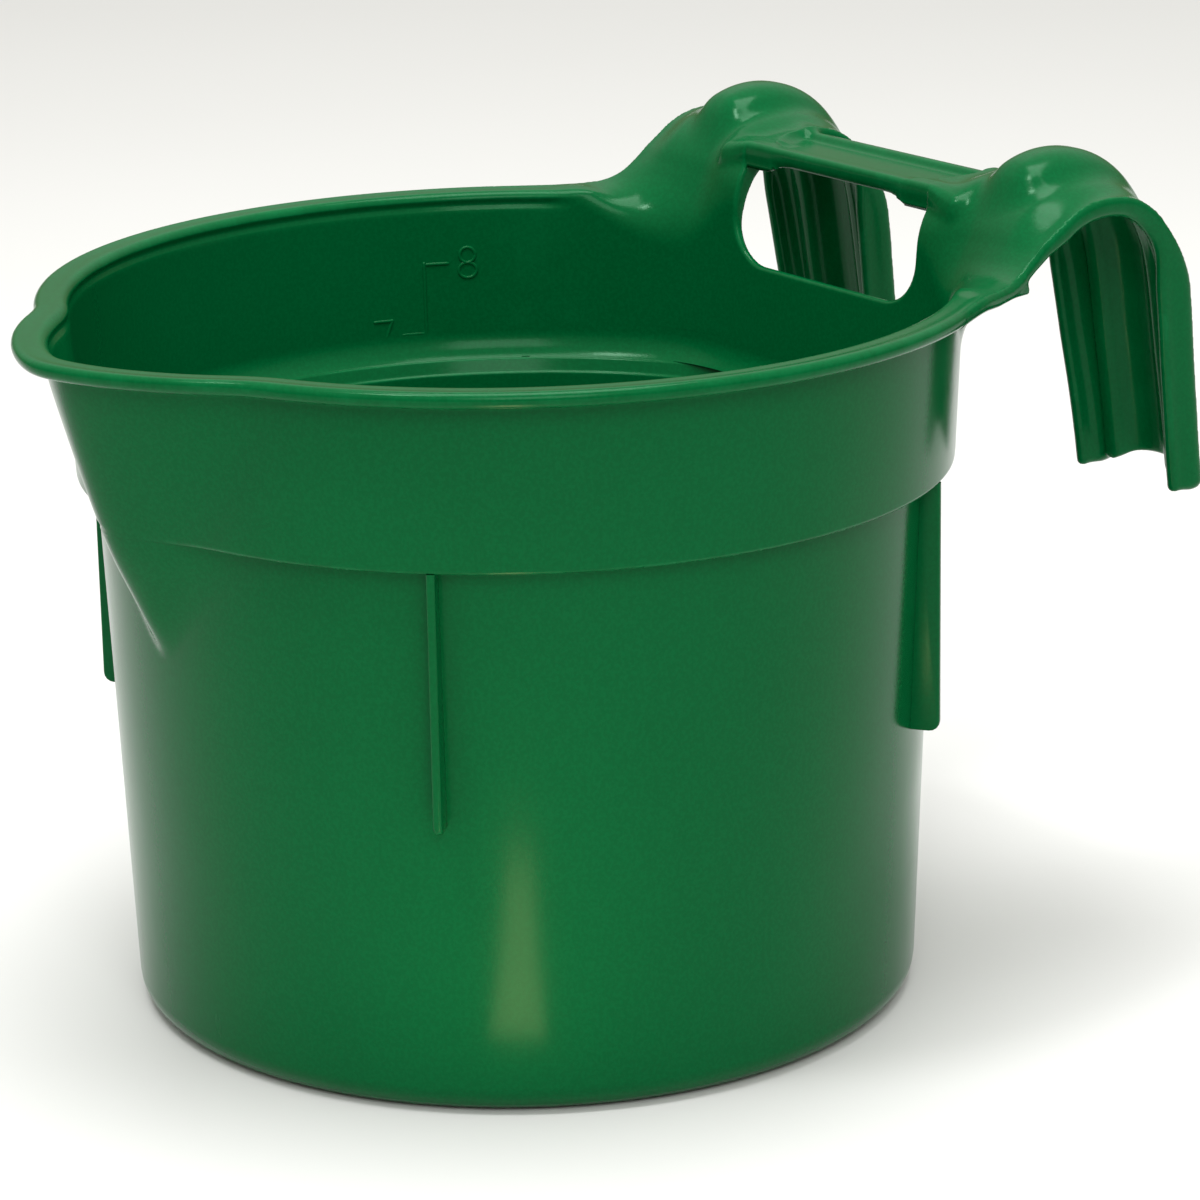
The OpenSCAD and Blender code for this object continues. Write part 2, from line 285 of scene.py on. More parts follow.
PATH = dense_path(STRAP_PATH)
SEG = np.diff(PATH, axis=0)
SEG_LEN = np.linalg.norm(SEG, axis=1)
PATH_S = np.concatenate([[0.0], np.cumsum(SEG_LEN)])
S_END = PATH_S[-1]


def path_s_at(y, z):
    """Arc length of the path's point nearest to (y, z)."""
    return PATH_S[np.argmin(np.hypot(PATH[:, 0] - y, PATH[:, 1] - z))]


S_FOOT = path_s_at(113.5, 213.4)
S_TOP = path_s_at(141.0, 227.0)
S_BEND = path_s_at(165.6, 208.5)


def strap_coords(y, z):
    """Arc length s and offset n (positive outside) from the strap's path."""
    best = np.full(y.shape, 1e9)
    s, n = np.zeros(y.shape), np.zeros(y.shape)
    last = len(SEG) - 1
    for i in range(len(SEG)):
        ey, ez = SEG[i] / SEG_LEN[i]
        dy, dz = y - PATH[i, 0], z - PATH[i, 1]
        t = dy * ey + dz * ez
        t = np.clip(t, -1e9 if i == 0 else 0.0, 1e9 if i == last else SEG_LEN[i])
        py, pz = dy - t * ey, dz - t * ez
        d2 = py * py + pz * pz
        hit = d2 < best
        side = np.where(dz * ey - dy * ez >= 0, 1.0, -1.0)
        best = np.where(hit, d2, best)
        s = np.where(hit, PATH_S[i] + t, s)
        n = np.where(hit, side * np.sqrt(d2), n)
    return s, n


# root of the hooks: where the rim's section turns into it, and how far it leans forward inside
ROOT_Y = (78.0, 98.0)
ROOT_RISE = 7.0
ROOT_RISE_X = (44.0, 64.0)
ROOT_FILLET = 15.0
ROOT_BEND = 15.0
RIM_BEND = 2.8
RIM_FILLET = 2.2
# strap: narrowing, rolled sides, flanges and the arched lower end
TAIL_TAPER = 3.6
SIDE_ROLL = 3.4
TAIL_ARCH = 3.6
FLANGE_ARCH = 1.3
FLANGE_TAIL = 5.2
# gusset under the outer side of the root
GUSSET_Y = 110.5
GUSSET_HALF = 1.95
GUSSET_LEAN = 0.35
# grip bar: web, front bead and back bead as (middle, half) in y and in z
WEB_Y, WEB_Z = (128.6, 12.0), (221.7, 1.3)
FRONT_Y, FRONT_Z = (118.3, 2.6), (222.3, 2.1)
BACK_BEAD_Y, BACK_BEAD_Z = (139.4, 1.8), (222.6, 2.3)
BAR_HALF = 55.0
BAR_DROP = 2.6
# hand opening
HOLE_HALF = 42.5
HOLE_LOW = 189.0
HOLE_ROUND = 14.0
HOLE_TOP = 216.8

TAB_Y0, TAB_Z0, TAB_STEP = 54.0, 130.0, 0.4
TAB_NY, TAB_NZ = 341, 281
TAB_GY, TAB_GZ = np.meshgrid(
    TAB_Y0 + TAB_STEP * np.arange(TAB_NY), TAB_Z0 + TAB_STEP * np.arange(TAB_NZ), indexing="ij"
)
TAB_S, TAB_N = strap_coords(TAB_GY, TAB_GZ)


def strap_lookup(y, z):
    """strap_coords read from the table by interpolation."""
    fy = np.clip((y - TAB_Y0) / TAB_STEP, 0, TAB_NY - 1.001)
    fz = np.clip((z - TAB_Z0) / TAB_STEP, 0, TAB_NZ - 1.001)
    i, j = fy.astype(int), fz.astype(int)
    a, b = fy - i, fz - j
    out = []
    for tab in (TAB_S, TAB_N):
        out.append(
            (tab[i, j] * (1 - a) + tab[i + 1, j] * a) * (1 - b)
            + (tab[i, j + 1] * (1 - a) + tab[i + 1, j + 1] * a) * b
        )
    return out


def capsule(u, v, v0, v1, r):
    """Distance to the segment from (0, v0) to (0, v1), thickened by r."""
    return np.hypot(u, v - np.clip(v, v0, v1)) - r


def slab(v, middle, half):
    """Distance outside a slab of the given half thickness."""
    return np.abs(v - middle) - half


def rim_section(plan, n, d, fillet):
    """The rim's cross section: a thick sheet with a round edge, on top of the wall."""
    sheet = np.where(plan + LIP_HALF > 0, np.hypot(plan + LIP_HALF, n), np.abs(n)) - LIP_HALF
    return smin(np.maximum(d, n + 1.4), sheet, fillet)


def whole_field(x, y, z):
    """Signed distance of the upper band, rim, back panel, grip bar and hooks."""
    ax = np.abs(x)
    # beside the hand opening the root rises further forward than at its outer side
    inner = 1.0 - step01(ax, *ROOT_RISE_X)
    forward = inner * step01(y, 78.0, 104.0) * (1.0 - step01(y, 114.0, 144.0))
    s, n = strap_lookup(y + ROOT_RISE * forward, z)
    d = band_d(x, y, z)
    across = np.abs(ax - HOOK_X)
    root = step01(y, *ROOT_Y)

    # plan outline of the turned-out rim and the straps that grow out of it
    half = HOOK_HALF + 1.5 * (1.0 - step01(y, 96.0, 120.0))
    half = half - TAIL_TAPER * step01(s, S_BEND - 6.0, S_END)
    half = half + np.where(ax < HOOK_X, 4.5 * (1.0 - step01(y, 113.0, 121.0)), 0.0)
    side = across - half
    end = s - S_END + TAIL_ARCH * (1.0 - step01(across, 8.0, 20.0))
    ring = np.maximum(d - LIP_OUT, np.where(y > 60.0, 40.0 - ax, -50.0))
    flank = smin(ring, np.maximum(side, 60.0 - y), 16.0)
    plan = np.where(s > S_FOOT, rounded(side, end, np.where(ax < HOOK_X, 7.0, 2.5)), flank)

    # the sheet rolls down towards its side edges beyond the root
    over = step01(s, S_FOOT - 9.0, S_FOOT + 12.0)
    down = SIDE_ROLL * over * (1.0 - step01(s, S_BEND - 10.0, S_BEND + 14.0))
    nm = n + down * step01(across, 12.0, 25.5)
    body = rim_section(plan, nm, d, RIM_FILLET + ROOT_FILLET * root)

    # flange along the side edges, and the gusset under the root
    depth = FLANGE_ARCH * over + FLANGE_TAIL * step01(s, S_BEND - 8.0, S_BEND + 14.0)
    flange = capsule(flank + LIP_HALF, nm, -depth, 0.0, LIP_HALF * 0.94)
    flange = rounded(flange, end, 1.8)
    body = smin(body, flange, 1.2 + 3.8 * over)
    gusset = rounded(np.abs(flank + LIP_HALF) - GUSSET_HALF, LIP_MID - LIP_HALF - z, 1.8)
    gusset = np.maximum(np.maximum(gusset, n), 62.0 - ax)
    gusset = rounded(gusset, y - GUSSET_Y + GUSSET_LEAN * (z - 202.0), 1.0)
    body = smin(body, gusset, 1.2)

    # inside of the tub: a rounded rim edge that opens into a wide bend at the straps
    bend = RIM_BEND + ROOT_BEND * step01(y, 80.0, 106.0) * (1.0 - 0.5 * inner)
    air = smin(d + WALL, LIP_HALF - nm, bend)
    body = rounded(body, -(d + WALL), WALL) * (1.0 - root) + np.maximum(body, -air) * root

    # raised hollow rib along the strap
    arc = np.hypot(y - CROWN_Y, z - CROWN_Z) - CROWN_R
    tail = n - CROWN_TAIL + 7.5 * (1.0 - step01(s, S_TOP + 4.0, S_TOP + 40.0))
    outline = np.where(s > S_TOP, smin(arc, tail, 5.0), arc)
    rib = rounded(outline, np.abs(ax - CROWN_X) - CROWN_HALF, 12.0)
    rib = rounded(rib, CROWN_FRONT - y, 10.0)
    rib = np.maximum(np.maximum(rib, -1.0 - n), end)
    body = smin(body, rib, 3.4)
    hollow = np.abs(ax - CROWN_X) - (CROWN_HALF - CROWN_WALL)
    hollow = rounded(outline + CROWN_WALL, hollow, 9.0)
    hollow = rounded(hollow, CROWN_FRONT + 4.0 - y, 6.0)
    hollow = np.maximum(hollow, -16.0 - n)
    body = smax(body, -hollow, 1.4 + 1.4 * step01(s, S_BEND - 16.0, S_BEND + 10.0))

    # grip bar: a web with a low bead along its front and its back
    zb = z + BAR_DROP * step01(ax, 42.0, BAR_HALF)
    web = rounded(slab(y, *WEB_Y), slab(zb, *WEB_Z), 0.9)
    front = rounded(slab(y, *FRONT_Y), slab(zb, *FRONT_Z), 1.5)
    back = rounded(slab(y, *BACK_BEAD_Y), slab(zb, *BACK_BEAD_Z), 1.5)
    bar = smin(smin(web, front, 2.4), back, 2.4)
    bar = rounded(bar, ax - BAR_HALF, 2.0)
    body = smin(body, bar, 4.5)

    # the hand opening under the bar
    reach = np.minimum(y - 115.0, np.maximum(y - 140.0, z - HOLE_TOP))
    hole = np.maximum(rounded(ax - HOLE_HALF, HOLE_LOW - z, HOLE_ROUND), reach)
    return rounded(body, -hole, 1.1)


# ---------------------------------------------------------------- mesh helpers

# convexity, per mm, at which the rubbed edge starts, and its span up to full wear
EDGE_FROM, EDGE_SPAN = 0.12, 0.5


def unit(v):
    return v / np.maximum(np.linalg.norm(v, axis=-1, keepdims=True), 1e-12)


def add_edge_mask(me, values):
    """Stores how sharply each vertex sticks out, for the rubbed edges."""
    layer = me.attributes.new("edge", "FLOAT", "POINT")
    layer.data.foreach_set("value", np.clip(np.asarray(values, np.float32), 0.0, 1.0))


def make_mesh(name, verts, faces, normals=None):
    """A mesh object from points in mm; normals, if given, are one per vertex."""
    me = bpy.data.meshes.new(name)
    me.from_pydata((np.asarray(verts) * MM).tolist(), [], faces)
    me.update()
    ob = place_object(name, me)
    shade_smooth(me)
    if normals is not None:
        me.normals_split_custom_set_from_vertices(unit(np.asarray(normals)).tolist())
    return ob


def surface_nets(f, origin, h):
    """Quads on the zero surface of samples f, one vertex per crossed cell."""
    inside = f < 0
    nx, ny, nz = f.shape
    corners = [
        inside[a : nx - 1 + a, b : ny - 1 + b, c : nz - 1 + c]
        for a in (0, 1) for b in (0, 1) for c in (0, 1)
    ]
    count = sum(c.astype(np.int8) for c in corners)
    mixed = (count > 0) & (count < 8)
    cells = np.argwhere(mixed)
    index = np.full(mixed.shape, -1, np.int64)
    index[mixed] = np.arange(len(cells))
    total, hits = np.zeros((len(cells), 3)), np.zeros(len(cells))
    for axis in range(3):
        for b in (0, 1):
            for c in (0, 1):
                off = [b, c]
                off.insert(axis, 0)
                lo = cells + off
                off[axis] = 1
                hi = cells + off
                fa, fb = f[tuple(lo.T)], f[tuple(hi.T)]
                cut = (fa < 0) != (fb < 0)
                t = np.where(cut, fa / np.where(cut, fa - fb, 1.0), 0.0)
                p = lo - cells + 0.0
                p[:, axis] = t
                total += np.where(cut[:, None], p, 0.0)
                hits += cut
    verts = (cells + total / hits[:, None]) * h + np.asarray(origin)
    quads = []
    for axis in range(3):
        u, v = (axis + 1) % 3, (axis + 2) % 3
        lo = [slice(None)] * 3
        hi = [slice(None)] * 3
        lo[axis], hi[axis] = slice(0, -1), slice(1, None)
        a, b = inside[tuple(lo)], inside[tuple(hi)]
        e = np.argwhere(a != b)
        keep = (e[:, u] > 0) & (e[:, v] > 0)
        keep &= (e[:, u] < f.shape[u] - 1) & (e[:, v] < f.shape[v] - 1)
        e = e[keep]
        out = a[tuple(e.T)]
        ring = []
        for du, dv in ((-1, -1), (0, -1), (0, 0), (-1, 0)):
            q = e.copy()
            q[:, u] += du
            q[:, v] += dv
            ring.append(index[tuple(q.T)])
        ring = np.stack(ring, 1)
        quads.append(np.where(out[:, None], ring, ring[:, ::-1]))
    return verts, np.concatenate(quads)


def gradient(field, p, h=0.1):
    """Central differences of the field at points."""
    g = np.empty_like(p)
    for k in range(3):
        step = np.zeros(3)
        step[k] = h
        a, b = p + step, p - step
        g[:, k] = (field(*a.T) - field(*b.T)) / (2 * h)
    return g


def field_bend(p, h=0.7):
    """Convexity of the handle's surface at points on it, 0 flat to 1 a sharp edge."""
    mid = whole_field(*p.T)
    total = -6.0 * mid
    for k in range(3):
        step = np.zeros(3)
        step[k] = h
        total = total + whole_field(*(p + step).T) + whole_field(*(p - step).T)
    return (total / (h * h) - EDGE_FROM) / EDGE_SPAN


def settle(field, p, rounds=3):
    """Moves points onto the zero surface."""
    for _ in range(rounds):
        f, g = field(*p.T), gradient(field, p)
        move = np.clip(f / np.maximum((g * g).sum(1), 0.05), -0.5, 0.5)
        p = p - move[:, None] * g
    return p


# ---------------------------------------------------------------- round tub as rows

BACK_CUT = 122.0
BACK_CUT_Z = 165.0
NOSE_CUT = 28.0
FLOOR_Z = 8.0
CORNER_R = 8.0
WALL_Z = 150.0
LIP_Z = 198.0


def column(deg):
    """Index of the column at an angle from -Y."""
    return int(round((deg + 180.0) * N_AROUND / 360.0)) % N_AROUND


def lip_section():
    """Traces the rim's cross section from the outer wall over the top to the inner wall."""
    cd, cz = -0.9, 204.3
    start = math.atan2(LIP_Z - cz, -cd)
    end = math.atan2(LIP_Z - cz, -WALL - cd) + 2 * math.pi
    th = np.linspace(start, end, 1600)

    def section(d, z):
        rim = rim_section(d - LIP_OUT, z - LIP_MID, d, 2.2)
        flange = capsule(d - LIP_OUT + LIP_HALF, z - LIP_MID, 0.0, 0.0, LIP_HALF * 0.94)
        return rounded(smin(rim, flange, 1.2), -(d + WALL), WALL)

    # the first outward crossing along each ray
    steps = np.linspace(0.3, 14.0, 400)
    d = cd + steps[None] * np.cos(th)[:, None]
    z = cz + steps[None] * np.sin(th)[:, None]
    first = np.argmax(section(d, z) > 0, axis=1)
    lo, hi = steps[np.maximum(first - 1, 0)], steps[first]
    for _ in range(30):
        mid = 0.5 * (lo + hi)
        out = section(cd + mid * np.cos(th), cz + mid * np.sin(th)) > 0
        hi, lo = np.where(out, mid, hi), np.where(out, lo, mid)
    d, z = cd + lo * np.cos(th), cz + lo * np.sin(th)
    e = 0.02
    nd = section(d + e, z) - section(d - e, z)
    nz = section(d, z + e) - section(d, z - e)
    size = np.hypot(nd, nz)
    nd, nz = nd / size, nz / size
    turn = np.hypot(np.diff(nd), np.diff(nz))
    weight = np.concatenate([[0.0], np.cumsum(np.hypot(np.diff(d), np.diff(z)) * 0.5 + turn * 2.2)])
    at = np.interp(np.linspace(0, weight[-1], 46), weight, np.arange(len(th)))
    pick = np.unique(np.round(at).astype(int))
    pick[0], pick[-1] = 0, len(th) - 1
    rows = [(LIP_Z, 1.0, d[i], z[i], nd[i], nz[i]) for i in pick]
    rows[0] = (LIP_Z, 1.0, 0.0, LIP_Z, 1.0, 0.0)
    rows[-1] = (LIP_Z, 1.0, -WALL, LIP_Z, -1.0, 0.0)
    return rows


# the inside of the shoulder: a hollow curve, then two fine edges as (radius, height, normal)
HOLLOW_R, HOLLOW_Z = 10.9, 163.0
INNER_STEP = [
    (118.40, 155.38, -0.60, 0.80), (118.10, 155.22, -0.50, 0.87),
    (117.85, 155.05, -0.75, 0.66), (117.70, 154.70, -0.95, 0.31), (117.20, 153.20, -0.95, 0.31),
    (116.95, 152.00, -0.95, 0.31), (116.88, 151.55, -0.90, 0.43), (116.75, 151.25, -0.55, 0.83),
    (116.50, 151.05, -0.60, 0.80), (116.35, 150.80, -0.95, 0.31), (116.30, 150.45, -1.00, 0.00),
]


def tub_rows():
    """The tub's profile, as (plan height, mix of lower and upper wall, offset, height, normal)."""
    rows, marks = [], {}

    def add(*row, mark=None):
        if mark:
            marks[mark] = len(rows)
        rows.append(row)

    quarter = np.radians([0, 15, 30, 45, 60, 75, 90])
    for t in quarter:
        sin, cos = math.sin(t), math.cos(t)
        add(FLOOR_Z, 0.0, CORNER_R * (sin - 1), CORNER_R * (1 - cos), sin, -cos)
    marks["floor_out"] = len(rows) - 1
    for z in np.arange(11.0, 90.0, 4.0):
        add(z, 0.0, 0.0, z, 1.0, 0.0)
    for z in np.arange(90.0, WALL_Z, 1.5):
        add(z, 0.0, 0.0, z, 1.0, 0.0)
    add(WALL_Z, 0.0, 0.0, WALL_Z, 1.0, 0.0, mark="wall_out")
    for z in (151.5, 153.0):
        add(z, 0.0, 0.0, z, 1.0, 0.0)
    for t in quarter[::2]:
        add(154.5, 0.0, 1.0 - math.cos(t), 154.5 + math.sin(t), math.cos(t), -math.sin(t))
    for m in (0.25, 0.5, 0.75):
        add(SHOULDER_Z, m, 1.0 - 2.2 * m, SHOULDER_Z, 0.0, -1.0)
    for t in quarter[::2]:
        sin, cos = math.sin(t), math.cos(t)
        add(SHOULDER_Z, 1.0, 1.2 * (sin - 1), SHOULDER_Z + 1.2 * (1 - cos), sin, -cos)
    for z in np.arange(158.5, BACK_CUT_Z, 1.6):
        add(z, 1.0, 0.0, z, 1.0, 0.0)
    add(BACK_CUT_Z, 1.0, 0.0, BACK_CUT_Z, 1.0, 0.0, mark="band_out")
    for z in np.arange(BACK_CUT_Z + 2.2, LIP_Z - 0.5, 2.2):
        add(z, 1.0, 0.0, z, 1.0, 0.0)
    marks["lip_out"] = len(rows)
    rows.extend(lip_section())
    marks["lip_in"] = len(rows) - 1
    for z in np.arange(BACK_CUT_Z + 2.2, LIP_Z - 0.5, 2.2)[::-1]:
        add(z, 1.0, -WALL, z, -1.0, 0.0)
    add(BACK_CUT_Z, 1.0, -WALL, BACK_CUT_Z, -1.0, 0.0, mark="band_in")
    # inside, the shoulder is a hollow curve that ends in two fine edges
    for t in np.radians([0, 9, 18, 27, 36, 43.6]):
        sin, cos = math.sin(t), math.cos(t)
        add(SHOULDER_Z, 1.0, -WALL - HOLLOW_R * (1 - cos), HOLLOW_Z - HOLLOW_R * sin, -cos, sin)
    for r, z, nd, nz in INNER_STEP:
        add(SHOULDER_Z, 0.0, r - low_r(SHOULDER_Z), z, nd, nz)
    add(WALL_Z, 0.0, -WALL, WALL_Z, -1.0, 0.0, mark="wall_in")
    for z in np.arange(90.0, WALL_Z, 1.5)[::-1]:
        add(z, 0.0, -WALL, z, -1.0, 0.0)
    for z in np.arange(11.0, 90.0, 4.0)[::-1]:
        add(z, 0.0, -WALL, z, -1.0, 0.0)
    marks["floor_in"] = len(rows)
    for t in quarter:
        add(8.6, 0.0, -8 + 5.6 * math.cos(t), 8.6 - 5.6 * math.sin(t), -math.cos(t), math.sin(t))
    return rows, marks


ROWS, MARKS = tub_rows()
CURVES = {}


def curve_at(z, mix):
    """Plan curve, normals and lean for a row, kept for rows that share them."""
    key = (round(float(z), 4), round(float(mix), 4))
    if key not in CURVES:
        wall_r = low_r(z) * (1 - mix) + up_r(z) * mix
        p, n = plan_curve(z, wall_r)
        CURVES[key] = (p, n, wall_lean(z, mix))
    return CURVES[key]


def ledge_share():
    """1 where the shoulder has its full width, 0 where the pouring nose swallows it."""
    a = plan_radius(ANG, SHOULDER_Z, low_r(SHOULDER_Z))
    b = plan_radius(ANG, SHOULDER_Z, up_r(SHOULDER_Z))
    full = up_r(SHOULDER_Z) - low_r(SHOULDER_Z)
    return np.where(np.abs(ANG) < 1.2, np.clip((b - a) / full, 0.0, 1.0), 1.0)


LEDGE = ledge_share()


def lay_rows():
    """Points and normals of every row; the shoulder fades where the nose swallows it."""
    pts, nor = [], []
    for i, (z, mix, d, z_at, nd, nz) in enumerate(ROWS):
        flat = np.full(N_AROUND, float(d))
        outer = MARKS["wall_out"] < i < MARKS["band_out"]
        inner = MARKS["band_in"] < i < MARKS["wall_in"]
        nd, nz = np.full(N_AROUND, nd), np.full(N_AROUND, nz)
        if outer or inner:
            rest = 0.0 if i < MARKS["band_out"] else -WALL
            flat = rest + (flat - rest) * LEDGE
            side = 1.0 if i < MARKS["band_out"] else -1.0
            nd, nz = nd * LEDGE + side * (1 - LEDGE), nz * LEDGE
        if MARKS["lip_out"] <= i <= MARKS["lip_in"]:
            z = min(max(z_at, LIP_Z), LIP_MID + LIP_HALF)
        p, n, lean = curve_at(z, mix)
        q = p + n * flat[:, None]
        pts.append(np.column_stack([q, np.full(N_AROUND, z_at)]))
        nor.append(np.column_stack([nd[:, None] * n, nz - nd * lean]))
    return np.array(pts), unit(np.array(nor))


ROW_PTS, ROW_NOR = lay_rows()


def row_bend():
    """Convexity of each row of the profile, from the turn of its normal."""
    bend = np.zeros(len(ROWS))
    for i in range(1, len(ROWS) - 1):
        a, b = ROWS[i - 1], ROWS[i + 1]
        span = math.hypot(b[2] - a[2], b[3] - a[3]) + 0.2
        turn = a[4] * b[5] - a[5] * b[4]
        bend[i] = (turn / span - EDGE_FROM) / EDGE_SPAN
    return np.clip(bend, 0.0, 1.0)


ROW_BEND = row_bend()


def block(name, outer, inner, cols=None):
    """A closed piece of the tub between rows outer[0]..outer[1] and inner[0]..inner[1]."""
    ring = list(range(outer[0], outer[1] + 1)) + list(range(inner[0], inner[1] + 1))
    ring = list(dict.fromkeys(ring))
    full = cols is None
    cols = list(range(N_AROUND)) if full else cols
    m, n = len(ring), len(cols)
    pts = ROW_PTS[np.ix_(ring, cols)].transpose(1, 0, 2).reshape(-1, 3)
    nor = ROW_NOR[np.ix_(ring, cols)].transpose(1, 0, 2).reshape(-1, 3)
    faces = []
    for j in range(n if full else n - 1):
        a, b = j * m, ((j + 1) % n) * m
        for i in range(m):
            k = (i + 1) % m
            faces.append((a + i, b + i, b + k, a + k))
    if not full:
        faces.append(tuple(range(m)))
        faces.append(tuple((n - 1) * m + i for i in range(m - 1, -1, -1)))
    ob = make_mesh(name, pts, faces, nor)
    add_edge_mask(ob.data, np.tile(ROW_BEND[ring], n))
    return ob


def floor_block(name):
    """The base: a shallow recess underneath, the rounded corner and the inside floor."""
    foot = [(0.30, 1.0), (0.60, 1.0), (0.80, 1.0), (0.845, 0.95)]
    foot += [(0.857, 0.7), (0.867, 0.2), (0.88, 0.0)]
    p8 = curve_at(FLOOR_Z, 0.0)[0]
    pts, nor = [], []
    for k, (f, z) in enumerate(foot):
        pts.append(np.column_stack([p8 * f, np.full(N_AROUND, z)]))
        slope = 0.0 if k in (0, 1, 2, 6) else (0.2, 0.75, 0.5)[k - 3]
        nor.append(np.column_stack([-p8 / 113.0 * slope, np.full(N_AROUND, -1.0)]))
    for i in range(MARKS["floor_out"] + 1):
        pts.append(ROW_PTS[i])
        nor.append(ROW_NOR[i])
    for i in range(MARKS["floor_in"], len(ROWS)):
        pts.append(ROW_PTS[i])
        nor.append(ROW_NOR[i])
    for f in (0.80, 0.60, 0.30):
        pts.append(np.column_stack([p8 * f, np.full(N_AROUND, 3.0)]))
        nor.append(np.tile([0.0, 0.0, 1.0], (N_AROUND, 1)))
    m = len(pts)
    pts = np.array(pts).transpose(1, 0, 2).reshape(-1, 3)
    nor = np.array(nor).transpose(1, 0, 2).reshape(-1, 3)
    low, high = len(pts), len(pts) + 1
    pts = np.vstack([pts, [[0, 0, 1.0], [0, 0, 3.0]]])
    nor = np.vstack([nor, [[0, 0, -1.0], [0, 0, 1.0]]])
    faces = []
    for j in range(N_AROUND):
        a, b = j * m, ((j + 1) % N_AROUND) * m
        for i in range(m - 1):
            faces.append((a + i, b + i, b + i + 1, a + i + 1))
        faces.append((a, low, b))
        faces.append((b + m - 1, high, a + m - 1))
    return make_mesh(name, pts, faces, nor)


def around(a, b):
    """Columns from angle a to angle b."""
    return list(range(column(a), column(b) + 1))


M = MARKS
NOSE_COLS = around(-NOSE_CUT, NOSE_CUT)
LEFT_COLS = around(-BACK_CUT, -NOSE_CUT)
RIGHT_COLS = around(NOSE_CUT, BACK_CUT)
PIECES = {}
PIECES["tub_floor"] = (floor_block("tub_base"), ["tub_floor"])
PIECES["lower_wall"] = (
    block("lower_wall", (M["floor_out"], M["wall_out"]), (M["wall_in"], M["floor_in"])),
    ["tub_wall"],
)
PIECES["shoulder"] = (
    block("shoulder", (M["wall_out"], M["band_out"]), (M["band_in"], M["wall_in"])),
    ["shoulder_step"],
)
band = ((M["band_out"], M["lip_out"]), (M["lip_in"], M["band_in"]))
PIECES["band_left"] = (block("upper_band_left", *band, LEFT_COLS), ["upper_band"])
PIECES["band_right"] = (block("upper_band_right", *band, RIGHT_COLS), ["upper_band"])
PIECES["nose"] = (block("pouring_nose", *band, NOSE_COLS), ["pour_spout"])
lip = ((M["lip_out"], M["lip_in"]), (M["lip_in"], M["lip_in"]))
PIECES["rim_left"] = (block("rim_left", *lip, LEFT_COLS), ["rim_lip"])
PIECES["rim_right"] = (block("rim_right", *lip, RIGHT_COLS), ["rim_lip"])
PIECES["nose_lip"] = (block("pouring_lip", *lip, NOSE_COLS), ["spout_lip"])

# ---------------------------------------------------------------- back panel, hooks and bar

NET_STEP = 0.85
HOOK_CUT_Y = 114.6
BAR_CUT_X = 41.5
BAR_LOW = 212.0
NEAR_CUT = 0.006
ON_PLANE = 2e-7


def sample_field():
    """Samples of the field over the handle end; the left half mirrors the right."""
    h = NET_STEP
    xs = np.arange(0.5, 117.0 / h) * h
    ys = np.arange(60.0, 190.0, h)
    zs = np.arange(130.95, 241.0, h)
    gx, gy, gz = np.meshgrid(xs, ys, zs, indexing="ij")
    f = whole_field(gx, gy, gz)
    f[(gz < BACK_CUT_Z - 2.0) & (gy < 140.0)] = 5.0
    a = math.radians(BACK_CUT - 1.5)
    f[gx * math.cos(a) + gy * math.sin(a) < 0] = 5.0
    full = np.concatenate([f[::-1], f], axis=0)
    return full, (-xs[-1], ys[0], zs[0]), h


def cut_plane(bm, co, no, where, clear=False):
    """Splits the mesh along a plane where the test holds, and can clear the plane's inner side."""
    verts = [v for v in bm.verts if where(v.co)]
    keep = set(verts)
    edges = [e for e in bm.edges if e.verts[0] in keep and e.verts[1] in keep]
    faces = [f for f in bm.faces if all(v in keep for v in f.verts)]
    bmesh.ops.bisect_plane(
        bm, geom=verts + edges + faces, dist=1e-8, plane_co=co, plane_no=no, clear_inner=clear
    )


def cap_plane(bm, co, no):
    """Closes the open loops that lie in one plane."""
    co, no = Vector(co), Vector(no).normalized()

    def on(e):
        return all(abs((v.co - co).dot(no)) < ON_PLANE for v in e.verts)

    edges = [e for e in bm.edges if e.is_boundary and on(e)]
    edges += [e for e in bm.edges if e.is_wire and on(e)]
    if edges:
        bmesh.ops.triangle_fill(bm, edges=edges, use_beauty=True, use_dissolve=False, normal=no)


def corner_edge(bm, plane_a, plane_b):
    """Joins the two skins where two cutting planes meet."""

    def on(v, plane):
        co, no = plane
        return abs((v.co - Vector(co)).dot(Vector(no))) < ON_PLANE

    pick = [v for v in bm.verts if on(v, plane_a) and on(v, plane_b)]
    if len(pick) == 2:
        bm.edges.new(pick)


